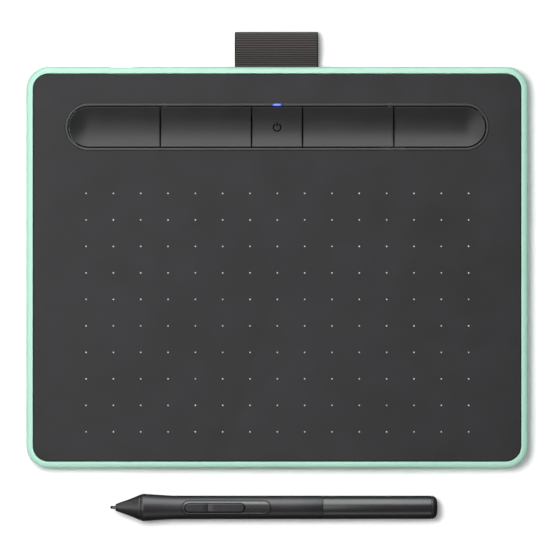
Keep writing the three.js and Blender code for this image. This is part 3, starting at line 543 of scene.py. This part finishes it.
def key(name, x0, x1):
    """A dished key. An outer key has a round end, where the dish turns into a bowl."""
    left, right = x0 < -SPINE_REACH, x1 > SPINE_REACH
    start = -SPINE_REACH if left else x0
    end = SPINE_REACH if right else x1
    near = [0, 0.02, 0.05, 0.1, 0.16, 0.3]
    along = [start] if left else [start + d for d in near]
    inside = 18
    lo = start if left else start + near[-1]
    hi = end if right else end - near[-1]
    along += [lo + (hi - lo) * i / inside for i in range(1, inside)]
    along += [end] if right else [end - d for d in reversed(near)]
    across = [0, 0.35, 0.75, 1.2, 1.8, 2.6, 3.6, 4.8, 6.0, 7.0]
    across += [KEY_RADIUS - d for d in (0.5, 0.36, 0.25, 0.16, 0.08, 0.03, 0)]

    def height(r, x):
        z = trough(r) - rounding(KEY_RADIUS - r)
        if not left:
            z -= rounding(x - x0, SLIT_ROUND)
        if not right:
            z -= rounding(x1 - x, SLIT_ROUND)
        return z

    rows = [[(x, BANK_Y - r, height(r, x)) for r in across] for x in along]
    turn = 40
    if right:
        for i in range(1, turn):
            a = -math.pi / 2 + math.pi * i / turn
            rows.append([(end + r * math.cos(a), BANK_Y + r * math.sin(a), height(r, x1)) for r in across])
    rows += [[(x, BANK_Y + r, height(r, x)) for r in across] for x in reversed(along)]
    if left:
        for i in range(1, turn):
            a = math.pi / 2 + math.pi * i / turn
            rows.append([(start + r * math.cos(a), BANK_Y + r * math.sin(a), height(r, x0)) for r in across])
        rows.append(rows[0])
    n = len(across)
    verts = [p for row in rows for p in row]
    faces = []
    for k in range(len(rows) - 1):
        for i in range(n - 1):
            faces.append((k * n + i, k * n + i + 1, (k + 1) * n + i + 1, (k + 1) * n + i))
    data = bpy.data.meshes.new(name)
    data.from_pydata([Vector(v) * MM for v in verts], [], faces)
    bm = bmesh.new()
    bm.from_mesh(data)
    bmesh.ops.remove_doubles(bm, verts=bm.verts, dist=WELD)
    bmesh.ops.dissolve_degenerate(bm, dist=WELD, edges=bm.edges)
    rim = [e for e in bm.edges if e.is_boundary]
    out = bmesh.ops.extrude_edge_only(bm, edges=rim)
    for v in out["geom"]:
        if isinstance(v, bmesh.types.BMVert):
            v.co.z = KEY_BOTTOM * MM
    bmesh.ops.holes_fill(bm, edges=[e for e in bm.edges if e.is_boundary], sides=0)
    bmesh.ops.recalc_face_normals(bm, faces=bm.faces)
    bm.to_mesh(data)
    bm.free()
    obj = bpy.data.objects.new(name, data)
    bpy.context.scene.collection.objects.link(obj)
    return obj


inner_slit, outer_slit = POWER_PITCH / 2, POWER_PITCH / 2 + EXPRESS_PITCH
slits = [-outer_slit, -inner_slit, inner_slit, outer_slit]
ends = [-SPINE_REACH - KEY_RADIUS] + [s + d for s in slits for d in (-SLIT / 2, SLIT / 2)]
ends += [SPINE_REACH + KEY_RADIUS]
key_names = ["express_key_1", "express_key_2", "power_key", "express_key_3", "express_key_4"]
for i, name in enumerate(key_names):
    top = key(name + "_top", ends[2 * i], ends[2 * i + 1])
    dress(top, keytop, name, stands_for=(name,), sharp=40)


def power_mark():
    """The usual power sign, a broken ring with a bar, standing a hair above the key."""
    verts, faces = [], []

    def strip(points, half):
        first = len(verts)
        for i, (x, y) in enumerate(points):
            ahead = points[min(i + 1, len(points) - 1)]
            behind = points[max(i - 1, 0)]
            dx, dy = ahead[0] - behind[0], ahead[1] - behind[1]
            length = math.hypot(dx, dy)
            nx, ny = -dy / length * half, dx / length * half
            for side, lift in ((-1, 0.0), (-0.6, 0.05), (0.6, 0.05), (1, 0.0)):
                px, py = x + nx * side, y + ny * side
                verts.append((px, BANK_Y + py, trough(abs(py)) + lift))
        for i in range(len(points) - 1):
            for j in range(3):
                a = first + 4 * i + j
                faces.append((a, a + 1, a + 5, a + 4))

    half_stroke = 0.27
    strip(arc(0, -0.1, 1.5, 122, 418, 40), half_stroke)
    strip([(0, 0.3), (0, 1.1), (0, 1.9)], half_stroke)
    return piece("power_key_mark", verts, faces, print_black, "power_key")


power_mark()


def key_ring():
    """The bead round the keys: an open sweep that leaves room for the light."""
    r = 0.3
    section = [(RING_INNER, RING_BOTTOM)]
    section += [(RING_INNER + r + x, TOP - r + z) for x, z in arc(0, 0, r, 180, 90, 6)]
    section += [(RING_OUTER - r + x, TOP - r + z) for x, z in arc(0, 0, r, 90, 0, 6)]
    section += [(RING_OUTER, RING_BOTTOM)]
    gap = LIGHT_HALF + 0.2
    stations = [((gap, BANK_Y), (0, 1)), ((SPINE_REACH, BANK_Y), (0, 1))]
    turn = 48
    stations += [
        ((SPINE_REACH, BANK_Y), (math.cos(a), math.sin(a)))
        for a in (math.pi / 2 - math.pi * i / turn for i in range(1, turn))
    ]
    stations += [((SPINE_REACH, BANK_Y), (0, -1)), ((-SPINE_REACH, BANK_Y), (0, -1))]
    stations += [
        ((-SPINE_REACH, BANK_Y), (math.cos(a), math.sin(a)))
        for a in (-math.pi / 2 - math.pi * i / turn for i in range(1, turn))
    ]
    stations += [((-SPINE_REACH, BANK_Y), (0, 1)), ((-gap, BANK_Y), (0, 1))]
    rings = [[(cx + nx * d, cy + ny * d, z) for d, z in section] for (cx, cy), (nx, ny) in stations]
    return piece("key_bezel", *skin(rings), bead, "tablet", stands_for=("key_frame",), sharp=35)


def status_light():
    """The small lit bar in the gap of the bead."""
    half_x, half_y, edge = LIGHT_HALF + 0.08, 0.5, 0.12
    steps = [(0, 4.5), (0, TOP - edge)]
    steps += [(edge - r, TOP - edge + z) for r, z in arc(0, 0, edge, 0, 90, 4)[1:]]
    rings = [
        [(x, y + LIGHT_Y, z) for x, y, z in ring(half_x - i, half_y - i, 0.3 - min(i, 0.1), height, 6)]
        for i, height in steps
    ]
    return piece("status_light", *skin(rings), light_bar(), "tablet", stands_for=("status_light_pipe",))


key_ring()
status_light()


# ------------------------------------------------------------------ Feet
def feet():
    """Four rubber pads with rounded lower edges."""
    for i, (sx, sy) in enumerate(((-1, -1), (1, -1), (1, 1), (-1, 1))):
        rings = []
        for inset, z in FOOT_EDGE:
            outline = stadium(sx * FOOT_AT[0], sy * FOOT_AT[1], FOOT[0] - 2 * inset, FOOT[1] - 2 * inset)
            rings.append([(x, y, z) for x, y in outline])
        piece(f"foot_pad_{i + 1}", *skin(rings), rubber, "tablet", stands_for=(f"rubber_foot_{i + 1}",))


feet()


# ------------------------------------------------------------------ Textile loop
def loop_line():
    """The ribbon's middle line in (y, z), from its lower tail round to its upper tail."""
    wall, tip = CASE["half_y"] + 0.3, CASE["half_y"] + LOOP_REACH - LOOP_THICK / 2
    bulge_at = tip - 4.2
    upper = [(wall - LOOP_TAIL * (1 - i / 6), LOOP_TAIL_Z) for i in range(6)]
    corners = ((wall, LOOP_TAIL_Z), (wall + 3.4, LOOP_TAIL_Z), (wall + 3, LOOP_BULGE), (bulge_at, LOOP_BULGE))
    for i in range(24):
        t = i / 24
        w = ((1 - t) ** 3, 3 * t * (1 - t) ** 2, 3 * t * t * (1 - t), t**3)
        upper.append(tuple(sum(k * c[axis] for k, c in zip(w, corners)) for axis in (0, 1)))
    for i in range(25):
        a = math.pi / 2 * (1 - i / 24)
        upper.append((bulge_at + (tip - bulge_at) * math.cos(a), LOOP_BULGE * math.sin(a)))
    return [(y, -z) for y, z in upper[:-1]] + [(y, z) for y, z in reversed(upper)]


def resample(line, spacing):
    """The line again at even steps near that spacing, and its length."""
    lengths = [0.0]
    for a, b in zip(line, line[1:]):
        lengths.append(lengths[-1] + math.dist(a, b))
    count = round(lengths[-1] / spacing)
    out, k = [], 0
    for i in range(count + 1):
        s = lengths[-1] * i / count
        while k < len(lengths) - 2 and lengths[k + 1] < s:
            k += 1
        t = (s - lengths[k]) / max(lengths[k + 1] - lengths[k], 1e-9)
        out.append(tuple(a + (b - a) * t for a, b in zip(line[k], line[k + 1])))
    return out, lengths[-1]


def ribbon():
    """A ribbed ribbon: its ribs run across the tablet, and its two edges are finished with a flat border."""
    rib, per_rib, border, plain = 0.9, 6, 0.34, 1.3
    line, length = resample(loop_line(), rib / per_rib)
    half = LOOP_WIDTH / 2
    edges = [0, 0.1, 0.24, border, 0.5, 0.9, plain]
    xs = [-half + e for e in edges]
    xs += [-half + plain + (LOOP_WIDTH - 2 * plain) * i / 14 for i in range(1, 14)]
    xs += [half - e for e in reversed(edges)]
    rings, painted_rib_shade = [], []
    for i, (y, z) in enumerate(line):
        ahead, behind = line[min(i + 1, len(line) - 1)], line[max(i - 1, 0)]
        dy, dz = ahead[0] - behind[0], ahead[1] - behind[1]
        size = math.hypot(dy, dz)
        ny, nz = dz / size, -dy / size
        crest = math.sin(math.pi * (i % per_rib) / per_rib) ** 1.3
        outer, inner_side = [], []
        for x in xs:
            side = half - abs(x)
            body = min(1.0, 0.45 + side / 0.5 * 0.55)
            ribbed = min(1.0, side / border)
            thick = LOOP_THICK / 2 * body - 0.2 * ribbed * (1 - crest)
            outer.append((x + LOOP_X, y + ny * thick, LOOP_Z + z + nz * thick))
            inner_side.append((x + LOOP_X, y - ny * thick, LOOP_Z + z - nz * thick))
        rings.append(outer + inner_side[::-1])
        # painted shade: the rib valleys and the flat borders get low values, which the weave colours near
        # black
        shade = [crest if half - abs(x) >= border else 0.1 for x in xs]
        painted_rib_shade += shade + shade[::-1]
    obj = piece("pen_loop_ribbon", *skin(rings), weave(), "tablet", stands_for=("pen_loop",), sharp=80)
    obj.data.attributes.new("crest", "FLOAT", "POINT").data.foreach_set("value", painted_rib_shade)
    return obj


ribbon()


# ------------------------------------------------------------------ Pen
def grip_radius(x):
    """The grip swells to its flare and falls in a long hollow curve to the plain barrel."""
    if x <= FLARE_AT:
        return FLARE_R
    share = min(1.0, (x - FLARE_AT) / HOLLOW)
    return GRIP_R - 0.03 * max(0.0, (x - 25.5) / 59.4) + (FLARE_R - GRIP_R) * (1 - share) ** 1.3


def pen_nib():
    """The nib: its shaft is coloured grey, partly a painted highlight on a black nib, and its first part
    keeps the nib's dark colour.
    """
    profile = [(0.0, 0.0), (0.02, 0.14), (0.08, 0.3), (0.2, 0.45), (0.42, 0.58), (0.7, NIB_TIP_R)]
    profile += [(0.8, NIB_TIP_R), (0.86, 0.62), (0.94, 0.62), (1.0, NIB_TIP_R), (2.6, 0.68)]
    profile += [(3.3, NIB_R), (NIB_LENGTH, NIB_R), (NIB_LENGTH, 0.0)]
    obj = piece("nib", *lathe(profile, 40), nibs, "pen_nib", PEN, ("pen_nib",), 40)
    obj.data.materials.append(nib_dark_tip)
    for polygon in obj.data.polygons:
        # the shaft keeps the grey with its painted highlight, and the tip gets the dark colour
        polygon.material_index = int(polygon.center.x < NIB_DARK_TIP * MM)
    return obj


def nose_cone():
    """The cone's outside from its mouth back, then its spigot and its bore."""
    curve = [(CONE_START, 1.0), (2.16, 1.16), (2.24, 1.31), (2.38, 1.43), (2.6, 1.52), (4.3, 2.12)]
    curve += [(5.5, 2.52), (6.7, 2.94), (8.3, 3.53), (9.9, 4.17), (11.2, 4.76), (11.9, 5.05)]
    curve += [(11.97, 5.05), (CONE_END, 5.0), (CONE_END, 3.75), (16.0, 3.75), (16.0, 2.95)]
    curve += [(10.5, 2.95), (5.3, 1.05), (2.3, 0.9)]
    return piece("nose_cone", *lathe(curve), matte, "pen", PEN, ("pen_nose_cone",), 35)


def grip_barrel():
    """The front barrel, with a slot-shaped hole for the switch's bezel."""
    end, radius = SPLIT_AT - SPLIT_HALF, grip_radius(84.8)
    profile = [(HOLLOW, 4.95), (12.13, 5.05), (12.22, 5.12), (12.9, 5.36), (13.1, 5.43), (FLARE_AT, FLARE_R)]
    for i in range(1, 25):
        x = FLARE_AT + HOLLOW * i / 24
        profile.append((x, grip_radius(x)))
    profile += [(x, grip_radius(x)) for x in (34, 44, 54, 64, 74, 84.7)]
    profile += [(end - SPLIT_HALF, radius - 0.04), (end, radius - 0.12), (end, BORE), (HOLLOW, BORE)]
    obj = solid("grip_barrel", *lathe(profile))
    middle = BEZEL["start"] + BEZEL["length"] / 2
    carve(obj, [prism(stadium(middle, 0, BEZEL["length"] + BEZEL_ROOM, BEZEL["width"] + BEZEL_ROOM), 0, 12)])
    return dress(obj, matte, "pen", PEN, ("pen_grip_barrel",), 30)


def crowned_pad(name, at, top_radius, flat_top=None, edge=0.22, groove=None):
    """A slot-shaped pad whose top follows the barrel, with rounded edges and, if asked, a cross groove."""
    r = at["width"] / 2
    x0, x1 = at["start"] + r, at["start"] + at["length"] - r
    fillet = [0, 0.02, 0.05, 0.1, 0.16, edge]
    across = [r * k / 6 for k in range(6)] + [r - d for d in reversed(fillet)]

    def height(x, y, inset):
        z = math.sqrt(top_radius**2 - y * y)
        if flat_top:
            z = min(z, flat_top)
        if groove:
            z -= GROOVE_DEPTH * max(0.0, 1 - ((x - groove) / GROOVE_HALF) ** 2)
        return z - rounding(inset, edge)

    along = [x0 + (x1 - x0) * i / 8 for i in range(9)]
    if groove:
        along = sorted(along + [groove + GROOVE_HALF * i / 3 for i in range(-3, 4)])
    turn = 24
    stations = [((x, 0), (0, -1)) for x in along]
    for i in range(1, turn):
        a = -math.pi / 2 + math.pi * i / turn
        stations.append(((x1, 0), (math.cos(a), math.sin(a))))
    stations += [((x, 0), (0, 1)) for x in reversed(along)]
    for i in range(1, turn):
        a = math.pi / 2 + math.pi * i / turn
        stations.append(((x0, 0), (math.cos(a), math.sin(a))))
    rows = []
    for (cx, cy), (nx, ny) in stations:
        row = [(cx + nx * d, cy + ny * d, height(cx + nx * d, cy + ny * d, r - d)) for d in across]
        row.append((row[-1][0], row[-1][1], at["low"]))
        rows.append(row)
    n = len(rows[0])
    verts = [p for row in rows for p in row]
    faces = []
    for k in range(len(rows)):
        m = (k + 1) % len(rows)
        for i in range(n - 1):
            faces.append((k * n + i, k * n + i + 1, m * n + i + 1, m * n + i))
    faces.append(tuple(k * n + n - 1 for k in range(len(rows))))
    return solid(name, verts, faces)


def switch_parts():
    """The glossy bezel and the rocker in it, which tilts about its groove."""
    bezel = crowned_pad("switch_bezel", BEZEL, GRIP_R + BEZEL["proud"])
    middle = ROCKER["start"] + ROCKER["length"] / 2
    hole = stadium(middle, 0, ROCKER["length"] + ROCKER_ROOM, ROCKER["width"] + ROCKER_ROOM)
    carve(bezel, [prism(hole, 0, 12)])
    dress(bezel, bezel_gloss, "pen", PEN, ("pen_switch_bezel",), 30)
    flat_top = GRIP_R + ROCKER["proud"]
    rocker = crowned_pad("side_switch_rocker", ROCKER, GRIP_R + 0.5, flat_top, 0.42, ROCKER["pivot"])
    dress(rocker, matte, "pen_side_switch", PEN, ("pen_side_switch",), 30)


def rear_parts():
    """The rear barrel, which pulls off, and the cap that closes it."""
    start, end = SPLIT_AT + SPLIT_HALF, CAP_AT - 0.15
    profile = [(start, BORE), (start, 4.5), (start + 0.04, 4.6), (start + 0.16, 4.63)]
    profile += [(end - 0.15, TAIL_R), (end - 0.05, TAIL_R - 0.02), (end, TAIL_R - 0.14), (end, BORE)]
    piece("rear_barrel", *lathe(profile), gloss, "pen_rear_barrel", PEN, ("pen_rear_barrel",), 35)
    profile = [(CAP_AT - 2, CAP_BORE), (CAP_AT - 2, 3.8), (CAP_AT, 3.8), (CAP_AT, TAIL_R - 0.14)]
    profile += [(CAP_AT + 0.02, TAIL_R - 0.04), (CAP_AT + 0.08, TAIL_R)]
    profile += [
        (PEN_LENGTH - CAP_ROUND[0] * (1 - x), TAIL_R - CAP_ROUND[1] * (1 - y))
        for x, y in arc(0, 0, 1, 90, 0, 16)
    ]
    profile += [(PEN_LENGTH, 0.75), (PEN_LENGTH - 0.08, CAP_BORE)]
    piece("end_cap", *lathe(profile), matte, "pen_rear_barrel", PEN, ("pen_end_cap",), 35)


pen_nib()
nose_cone()
grip_barrel()
switch_parts()
rear_parts()

# ------------------------------------------------------------------ Inner pieces that keep their solids
inner_nodes = (
    (chip, ["usb_tongue", "controller_chip", "pen_pressure_sensor"]),
    (chip, ["pen_front_tact_switch", "pen_rear_tact_switch"] + [f"key_switch_{i}" for i in range(1, 6)]),
    (board, ["main_board", "sensor_board", "pen_circuit_board"]),
    (steel, ["radio_module", "usb_socket", "shield_plate"] + [f"case_screw_{i}" for i in range(1, 5)]),
    (ivory, ["sensor_connector", "battery_plug", "status_led"]),
    (amber, ["sensor_flex"]),
    (rubber, ["battery_pad"]),
    (foil, ["battery"]),
    (wire, ["battery_lead"]),
    (inner, ["loop_anchor", "pen_chassis", "nib_holder"]),
    (ferrite, ["pen_ferrite_core"]),
    (copper, ["pen_coil"]),
    (nibs, [f"spare_nib_{i}" for i in range(1, 4)]),
)
for material, names in inner_nodes:
    for name in names:
        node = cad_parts[name]
        node.data.materials.clear()
        node.data.materials.append(material)
        node.data.shade_smooth()
        node.data.set_sharp_from_angle(angle=math.radians(32))

# ------------------------------------------------------------------ Floor, light and camera
floor_mat = finish("floor_paper", (250, 250, 250), (248, 248, 248), (0.8, 0.9), grain=2, bump=0.01)
floor_data = bpy.data.meshes.new("floor")
FLOOR_REACH = 6.0  # metres
floor_corners = [(x * FLOOR_REACH, y * FLOOR_REACH, 0) for x, y in ((-1, -1), (1, -1), (1, 1), (-1, 1))]
floor_data.from_pydata(floor_corners, [], [(0, 1, 2, 3)])
floor = bpy.data.objects.new("floor", floor_data)
floor.data.materials.append(floor_mat)
bpy.context.scene.collection.objects.link(floor)
floor.visible_glossy = False


def softbox(name, place, size, power, width=None, glossy=True, diffuse=True):
    """A soft lamp at a place in metres, facing the middle of the set."""
    lamp = bpy.data.lights.new(name, "AREA")
    lamp.energy, lamp.size = power, size
    lamp.shape = "RECTANGLE" if width else "DISK"
    if width:
        lamp.size, lamp.size_y = width, size
    obj = bpy.data.objects.new(name, lamp)
    bpy.context.scene.collection.objects.link(obj)
    obj.location = place
    obj.rotation_euler = Vector(place).to_track_quat("Z", "Y").to_euler()
    obj.visible_glossy, obj.visible_diffuse = glossy, diffuse


softbox("overhead_light", (-0.17, 0.1, 0.68), 0.36, 5.1, glossy=False)
softbox("rear_window", (0.0, 1.3, 0.62), 0.95, 2.5, width=2.6, glossy=False)
softbox("rear_card", (-0.1, 1.3, 0.8), 1.65, 30, width=1.5, diffuse=False)
softbox("front_card", (0.0, -1.3, 0.68), 0.3, 2.3, width=1.6, diffuse=False)
softbox("sky_card", (-0.8, 0.05, 1.2), 1.5, 9, diffuse=False)

world = bpy.data.worlds.new("studio")
world.use_nodes = True
background = world.node_tree.nodes["Background"]
background.inputs["Color"].default_value = (1, 1, 1, 1)
background.inputs["Strength"].default_value = 0.42
bpy.context.scene.world = world
world.cycles_visibility.glossy = False
bpy.context.scene.view_settings.view_transform = "Standard"

camera_data = bpy.data.cameras.new("camera")
LENS, SENSOR = 360, 36
VIEW_WIDTH = 223.1  # seen across the picture at the cover's height
VIEW_AIM = (1.16, -4.96)  # from the tablet's middle
camera_data.lens, camera_data.sensor_width = LENS, SENSOR
distance = VIEW_WIDTH * LENS / SENSOR
camera = bpy.data.objects.new("camera", camera_data)
camera.location = Vector((VIEW_AIM[0], TABLET_Y + VIEW_AIM[1], COVER_TOP + distance)) * MM
camera_data.clip_start, camera_data.clip_end = 0.1, 20
bpy.context.scene.collection.objects.link(camera)
bpy.context.scene.camera = camera
